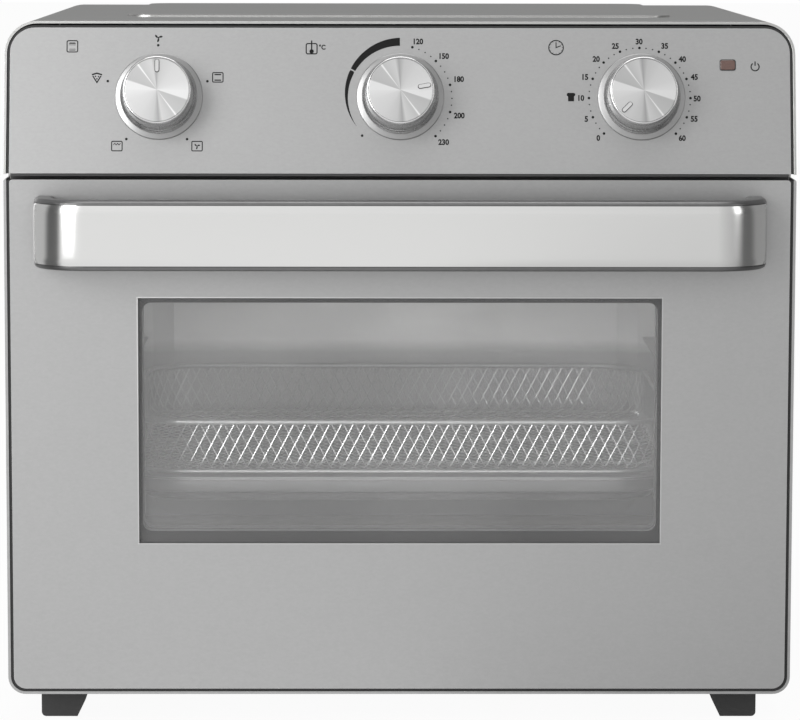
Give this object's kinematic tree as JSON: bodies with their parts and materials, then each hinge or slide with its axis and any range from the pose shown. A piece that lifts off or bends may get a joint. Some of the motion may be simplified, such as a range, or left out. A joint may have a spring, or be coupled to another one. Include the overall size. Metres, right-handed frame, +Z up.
{
  "type": "countertop air fryer oven",
  "caption": "Front-loading countertop air fryer oven with a drop-down glass door, bar handle, knobs on a leaning panel, mesh basket over a pan, fan and heating tubes inside.",
  "frame": {"origin": "middle of the footprint on the counter, under the feet", "axes": "+Z up, -Y out of the door, +X to the right when facing the door"},
  "size_m": [0.38, 0.369, 0.343],
  "materials": {
    "wrap_steel": "fine brushed stainless sheet",
    "zinc_steel": "zinc plated sheet, satin",
    "dark_enamel": "black heat-proof enamel, satin",
    "seal_rubber": "black silicone rubber",
    "cavity_steel": "aluminised sheet, satin",
    "bright_wire": "bright plated steel",
    "face_steel": "fine brushed stainless sheet",
    "black_plastic": "black moulded plastic",
    "bezel_silver": "satin silver ring",
    "lamp_lens": "dark amber-red clear moulding",
    "switch_resin": "brown phenolic resin",
    "foot_plastic": "dark grey moulded plastic, grained",
    "screw_steel": "turned and plated steel",
    "ceramic_white": "glazed white ceramic",
    "motor_steel": "laminated steel with varnish",
    "element_steel": "heat-tinted sheath",
    "rim_silver": "silver painted rim, satin",
    "window_glass": "clear tempered glass",
    "black_frame": "black paint, satin",
    "handle_metallic": "grey metallic moulding",
    "handle_polish": "bright brushed metal strip",
    "knob_silver": "satin silver",
    "knob_spun": "spun face with fine rings",
    "pan_enamel": "grey non-stick coat"
  },
  "bodies": {
    "root": {"outer_wrap": "wrap_steel", "base_pan": "zinc_steel", "back_panel": "zinc_steel", "front_frame": "dark_enamel", "door_gasket": "seal_rubber", "cavity_floor": "cavity_steel", "cavity_ceiling": "cavity_steel", "cavity_right_wall": "cavity_steel", "cavity_left_wall": "cavity_steel", "cavity_back_wall": "cavity_steel", "rack_rails": "bright_wire", "control_panel_plate": "face_steel", "control_panel_frame": "black_plastic", "knob_bezels": "bezel_silver", "indicator_lamp": "lamp_lens", "function_switch": "switch_resin", "thermostat": "switch_resin", "timer_body": "switch_resin", "hinge_brackets": "zinc_steel", "front_feet": "foot_plastic", "rear_feet": "foot_plastic", "foot_screws": "screw_steel", "rear_screws": "screw_steel", "cord_gland": "black_plastic", "terminal_block": "ceramic_white", "heat_shield": "zinc_steel", "fan_housing": "cavity_steel", "fan_grille": "cavity_steel", "fan_motor": "motor_steel", "upper_elements": "element_steel", "lower_elements": "element_steel", "element_ends": "ceramic_white"},
    "door": {"door_plate": "face_steel", "door_rim": "rim_silver", "door_liner": "black_plastic", "door_outer_glass": "window_glass", "window_retainer": "black_frame", "door_inner_shell": "dark_enamel", "door_inner_glass": "window_glass", "handle_core": "handle_metallic", "handle_strip": "handle_polish", "handle_screws": "screw_steel", "hinge_cheeks": "zinc_steel", "hinge_pins": "screw_steel"},
    "function_control": {"function_knob": "knob_silver", "function_knob_cap": "knob_spun", "function_shaft": "screw_steel"},
    "temperature_control": {"temperature_knob": "knob_silver", "temperature_knob_cap": "knob_spun", "temperature_shaft": "screw_steel"},
    "timer_control": {"timer_knob": "knob_silver", "timer_knob_cap": "knob_spun", "timer_shaft": "screw_steel"},
    "fan": {"fan_blade": "zinc_steel", "fan_shaft": "screw_steel"},
    "basket": {"fry_basket": "bright_wire", "basket_rim": "bright_wire"},
    "pan": {"baking_pan": "pan_enamel"},
    "crumb_tray": {"crumb_tray": "zinc_steel"}
  },
  "joints": [
    {"name": "door_hinge", "type": "hinge", "parent": "root", "child": "door", "pos_m": [0, -0.1395, 0.027], "axis": [1, 0, 0], "range_deg": [0, 84]},
    {"name": "function_turn", "type": "hinge", "parent": "root", "child": "function_control", "pos_m": [-0.1158, -0.14025, 0.3062], "axis": [0, -0.9763, 0.2164], "range_deg": [-144, 144]},
    {"name": "temperature_turn", "type": "hinge", "parent": "root", "child": "temperature_control", "pos_m": [0, -0.14025, 0.3062], "axis": [0, -0.9763, 0.2164], "range_deg": [-58, 216]},
    {"name": "timer_turn", "type": "hinge", "parent": "root", "child": "timer_control", "pos_m": [0.1158, -0.14025, 0.3062], "axis": [0, -0.9763, 0.2164], "range_deg": [-270, 0]},
    {"name": "fan_spin", "type": "hinge", "parent": "root", "child": "fan", "pos_m": [0, 0.0155, 0.245], "axis": [0, 0, 1], "continuous": true},
    {"name": "basket_slide", "type": "slide", "parent": "root", "child": "basket", "axis": [0, -1, 0], "range_m": [0, 0.133]},
    {"name": "pan_slide", "type": "slide", "parent": "root", "child": "pan", "axis": [0, -1, 0], "range_m": [0, 0.133]},
    {"name": "crumb_tray_slide", "type": "slide", "parent": "root", "child": "crumb_tray", "axis": [0, -1, 0], "range_m": [0, 0.048]}
  ],
  "couplings": [
    {"joint": "basket_slide", "follows": "door_hinge", "m_per_rad": 0.09},
    {"joint": "pan_slide", "follows": "door_hinge", "m_per_rad": 0.09},
    {"joint": "crumb_tray_slide", "follows": "door_hinge", "m_per_rad": 0.032}
  ]
}
